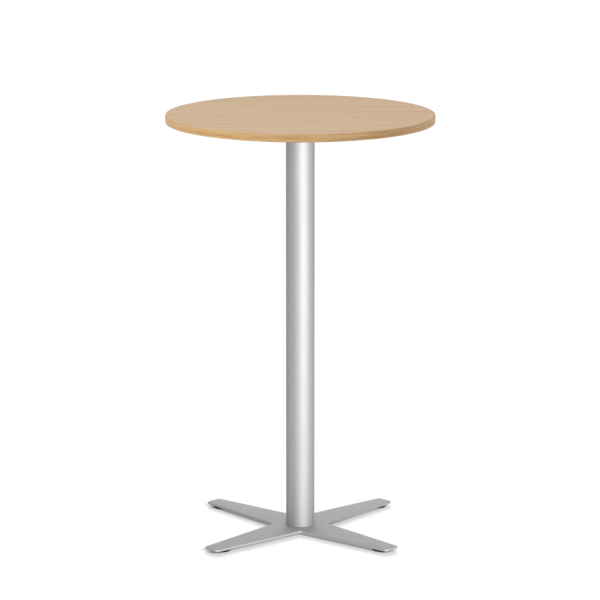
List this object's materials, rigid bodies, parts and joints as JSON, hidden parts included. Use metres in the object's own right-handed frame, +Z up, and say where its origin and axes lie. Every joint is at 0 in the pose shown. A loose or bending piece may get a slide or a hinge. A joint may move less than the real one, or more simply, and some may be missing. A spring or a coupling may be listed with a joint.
{
  "type": "standing meeting table",
  "caption": "Round standing-height meeting table: wood-decor top with edge band on a silver column and a flat cross-shaped base with levelling glides.",
  "frame": {"origin": "on the floor under the middle of the column", "axes": "+Z up; the base arms point along the diagonals between X and Y, and the grain of the top runs along X"},
  "size_m": [0.7, 0.7, 1.112],
  "materials": {
    "oak_laminate": "satin",
    "oak_band": "satin",
    "backing_laminate": "matte",
    "chipboard": "raw",
    "silver_paint": "satin metallic",
    "bare_steel": "turned",
    "zinc_plate": "bright zinc",
    "black_nylon": "moulded"
  },
  "bodies": {
    "table": {"top_core_board": "chipboard", "top_laminate": "oak_laminate", "backing_laminate": "backing_laminate", "edge_band": "oak_band", "mounting_plate": "silver_paint", "column_tube": "silver_paint", "base_cross": "silver_paint", "column_top_insert": "bare_steel", "column_bottom_insert": "bare_steel", "top_screw_1": "zinc_plate", "top_screw_2": "zinc_plate", "top_screw_3": "zinc_plate", "top_screw_4": "zinc_plate", "top_screw_5": "zinc_plate", "top_screw_6": "zinc_plate", "top_screw_7": "zinc_plate", "top_screw_8": "zinc_plate", "plate_bolt_1": "zinc_plate", "plate_bolt_2": "zinc_plate", "plate_bolt_3": "zinc_plate", "plate_bolt_4": "zinc_plate", "base_bolt_1": "zinc_plate", "base_bolt_2": "zinc_plate", "base_bolt_3": "zinc_plate", "base_bolt_4": "zinc_plate"},
    "stud_1": {"glide_stud_1": "zinc_plate"},
    "pad_1": {"glide_pad_1": "black_nylon"},
    "stud_2": {"glide_stud_2": "zinc_plate"},
    "pad_2": {"glide_pad_2": "black_nylon"},
    "stud_3": {"glide_stud_3": "zinc_plate"},
    "pad_3": {"glide_pad_3": "black_nylon"},
    "stud_4": {"glide_stud_4": "zinc_plate"},
    "pad_4": {"glide_pad_4": "black_nylon"}
  },
  "joints": [
    {"name": "glide_1_drop", "type": "slide", "parent": "table", "child": "stud_1", "axis": [0, 0, -1], "range_m": [0, 0.0025]},
    {"name": "glide_1_turn", "type": "hinge", "parent": "stud_1", "child": "pad_1", "pos_m": [0.2093, 0.2093, 0.003], "axis": [0, 0, -1], "range_deg": [0, 720]},
    {"name": "glide_2_drop", "type": "slide", "parent": "table", "child": "stud_2", "axis": [0, 0, -1], "range_m": [0, 0.0025]},
    {"name": "glide_2_turn", "type": "hinge", "parent": "stud_2", "child": "pad_2", "pos_m": [-0.2093, 0.2093, 0.003], "axis": [0, 0, -1], "range_deg": [0, 720]},
    {"name": "glide_3_drop", "type": "slide", "parent": "table", "child": "stud_3", "axis": [0, 0, -1], "range_m": [0, 0.0025]},
    {"name": "glide_3_turn", "type": "hinge", "parent": "stud_3", "child": "pad_3", "pos_m": [-0.2093, -0.2093, 0.003], "axis": [0, 0, -1], "range_deg": [0, 720]},
    {"name": "glide_4_drop", "type": "slide", "parent": "table", "child": "stud_4", "axis": [0, 0, -1], "range_m": [0, 0.0025]},
    {"name": "glide_4_turn", "type": "hinge", "parent": "stud_4", "child": "pad_4", "pos_m": [0.2093, -0.2093, 0.003], "axis": [0, 0, -1], "range_deg": [0, 720]}
  ],
  "couplings": [
    {"joint": "glide_1_drop", "follows": "glide_1_turn", "m_per_rad": 0.00019894},
    {"joint": "glide_2_drop", "follows": "glide_2_turn", "m_per_rad": 0.00019894},
    {"joint": "glide_3_drop", "follows": "glide_3_turn", "m_per_rad": 0.00019894},
    {"joint": "glide_4_drop", "follows": "glide_4_turn", "m_per_rad": 0.00019894}
  ]
}
